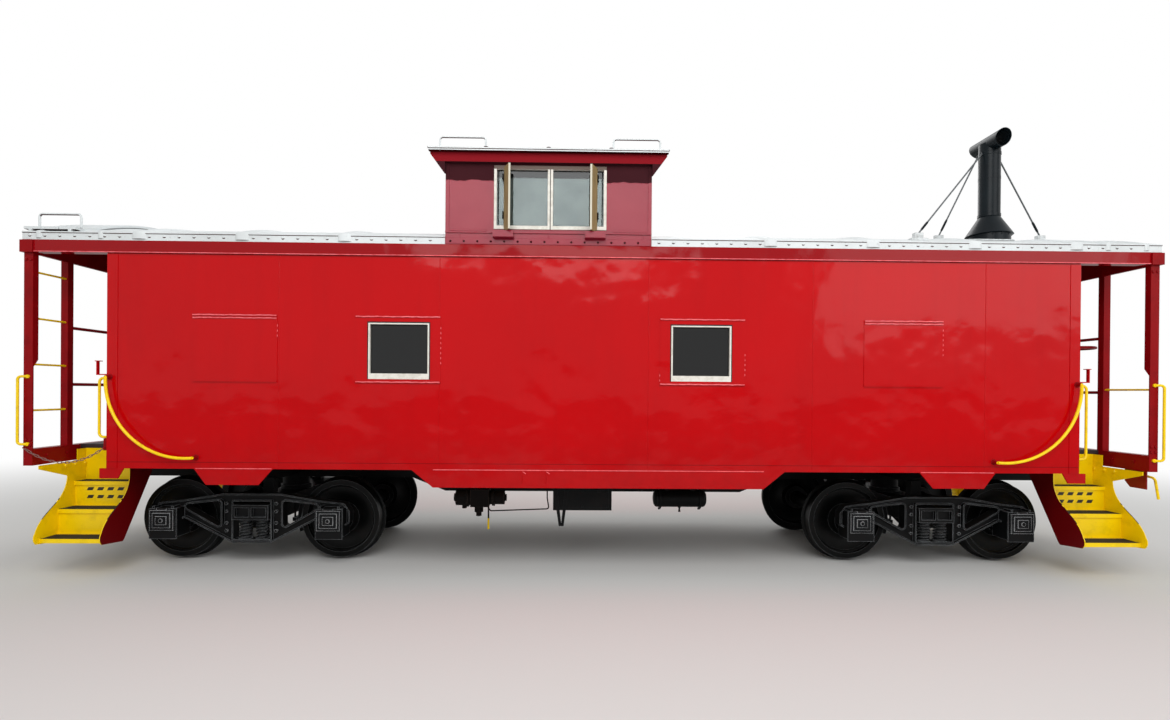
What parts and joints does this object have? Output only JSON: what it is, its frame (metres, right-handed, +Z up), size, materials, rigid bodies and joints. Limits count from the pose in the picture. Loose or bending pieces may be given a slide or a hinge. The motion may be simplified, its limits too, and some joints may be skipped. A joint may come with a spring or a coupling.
{
  "type": "cupola caboose",
  "caption": "Steel railway caboose with a full-width cupola, open end porches with steps, and sprung trucks whose wheelsets turn freely.",
  "frame": {"origin": "on the floor under the wheel flanges, at the middle of the car", "axes": "+X along the car towards the smokejack end, +Y across it, +Z up"},
  "size_m": [11.7, 3.318, 4.5658],
  "materials": {
    "red_paint": "gloss",
    "roof_white": "satin",
    "yellow_paint": "gloss",
    "black_paint": "satin",
    "stay_steel": "satin",
    "window_aluminium": "satin",
    "window_glass": "gloss",
    "deflector_board": "matt",
    "floor_boards": "matt",
    "deck_plate": "matt",
    "chain_steel": "rusty",
    "truck_casting": "painted",
    "wheel_steel": "worn",
    "cabin_paint": "satin"
  },
  "bodies": {
    "car": {"air_reservoir": "black_paint", "brake_cylinder": "black_paint", "brake_pipe": "black_paint", "cabin_furniture": "cabin_paint", "control_valve": "black_paint", "couplers": "red_paint", "cupola_ends": "red_paint", "cupola_roof": "roof_white", "cupola_sides": "red_paint", "end_frame_left": "red_paint", "end_frame_right": "red_paint", "end_ladders": "yellow_paint", "end_railings": "red_paint", "end_wall_left": "red_paint", "end_wall_right": "red_paint", "equipment_box": "black_paint", "floor": "floor_boards", "hand_brake": "red_paint", "porch_decks": "deck_plate", "porch_grab_irons": "yellow_paint", "roof": "roof_white", "roof_hand_rails": "roof_white", "running_boards": "roof_white", "safety_chain": "chain_steel", "side_grab_irons": "yellow_paint", "side_wall_far": "red_paint", "side_wall_near": "red_paint", "smokejack": "black_paint", "smokejack_stays": "stay_steel", "steps_left": "yellow_paint", "steps_right": "yellow_paint", "uncoupling_levers": "yellow_paint", "underframe": "black_paint", "wind_deflectors": "deflector_board", "window_frames": "window_aluminium", "window_glass": "window_glass"},
    "truck_left": {"side_frames_left": "truck_casting", "truck_bolster_left": "truck_casting", "truck_springs_left": "truck_casting", "brake_beams_left": "truck_casting"},
    "door_left": {"end_door_left": "red_paint"},
    "truck_right": {"side_frames_right": "truck_casting", "truck_bolster_right": "truck_casting", "truck_springs_right": "truck_casting", "brake_beams_right": "truck_casting"},
    "door_right": {"end_door_right": "red_paint"},
    "wheelset_1": {"wheelset_1": "wheel_steel"},
    "lid_1": {"journal_lid_1": "truck_casting"},
    "lid_2": {"journal_lid_2": "truck_casting"},
    "wheelset_2": {"wheelset_2": "wheel_steel"},
    "lid_3": {"journal_lid_3": "truck_casting"},
    "lid_4": {"journal_lid_4": "truck_casting"},
    "wheelset_3": {"wheelset_3": "wheel_steel"},
    "lid_5": {"journal_lid_5": "truck_casting"},
    "lid_6": {"journal_lid_6": "truck_casting"},
    "wheelset_4": {"wheelset_4": "wheel_steel"},
    "lid_7": {"journal_lid_7": "truck_casting"},
    "lid_8": {"journal_lid_8": "truck_casting"}
  },
  "joints": [
    {"name": "truck_left_swivel", "type": "hinge", "parent": "car", "child": "truck_left", "pos_m": [-3.575, 0, 0.66], "axis": [0, 0, 1], "range_deg": [-4, 4]},
    {"name": "door_left_hinge", "type": "hinge", "parent": "car", "child": "door_left", "pos_m": [-4.61, -0.35, 2.19], "axis": [0, 0, -1], "range_deg": [0, 95]},
    {"name": "truck_right_swivel", "type": "hinge", "parent": "car", "child": "truck_right", "pos_m": [3.575, 0, 0.66], "axis": [0, 0, 1], "range_deg": [-4, 4]},
    {"name": "door_right_hinge", "type": "hinge", "parent": "car", "child": "door_right", "pos_m": [4.61, 0.35, 2.19], "axis": [0, 0, -1], "range_deg": [0, 95]},
    {"name": "wheelset_1_spin", "type": "hinge", "parent": "truck_left", "child": "wheelset_1", "pos_m": [-4.413, 0, 0.445], "axis": [0, 1, 0], "continuous": true},
    {"name": "lid_1_hinge", "type": "hinge", "parent": "truck_left", "child": "lid_1", "pos_m": [-4.413, -1.167, 0.603], "axis": [-1, 0, 0], "range_deg": [0, 105]},
    {"name": "lid_2_hinge", "type": "hinge", "parent": "truck_left", "child": "lid_2", "pos_m": [-4.413, 1.167, 0.603], "axis": [1, 0, 0], "range_deg": [0, 105]},
    {"name": "wheelset_2_spin", "type": "hinge", "parent": "truck_left", "child": "wheelset_2", "pos_m": [-2.737, 0, 0.445], "axis": [0, 1, 0], "continuous": true},
    {"name": "lid_3_hinge", "type": "hinge", "parent": "truck_left", "child": "lid_3", "pos_m": [-2.737, -1.167, 0.603], "axis": [-1, 0, 0], "range_deg": [0, 105]},
    {"name": "lid_4_hinge", "type": "hinge", "parent": "truck_left", "child": "lid_4", "pos_m": [-2.737, 1.167, 0.603], "axis": [1, 0, 0], "range_deg": [0, 105]},
    {"name": "wheelset_3_spin", "type": "hinge", "parent": "truck_right", "child": "wheelset_3", "pos_m": [2.737, 0, 0.445], "axis": [0, 1, 0], "continuous": true},
    {"name": "lid_5_hinge", "type": "hinge", "parent": "truck_right", "child": "lid_5", "pos_m": [2.737, -1.167, 0.603], "axis": [-1, 0, 0], "range_deg": [0, 105]},
    {"name": "lid_6_hinge", "type": "hinge", "parent": "truck_right", "child": "lid_6", "pos_m": [2.737, 1.167, 0.603], "axis": [1, 0, 0], "range_deg": [0, 105]},
    {"name": "wheelset_4_spin", "type": "hinge", "parent": "truck_right", "child": "wheelset_4", "pos_m": [4.413, 0, 0.445], "axis": [0, 1, 0], "continuous": true},
    {"name": "lid_7_hinge", "type": "hinge", "parent": "truck_right", "child": "lid_7", "pos_m": [4.413, -1.167, 0.603], "axis": [-1, 0, 0], "range_deg": [0, 105]},
    {"name": "lid_8_hinge", "type": "hinge", "parent": "truck_right", "child": "lid_8", "pos_m": [4.413, 1.167, 0.603], "axis": [1, 0, 0], "range_deg": [0, 105]}
  ]
}
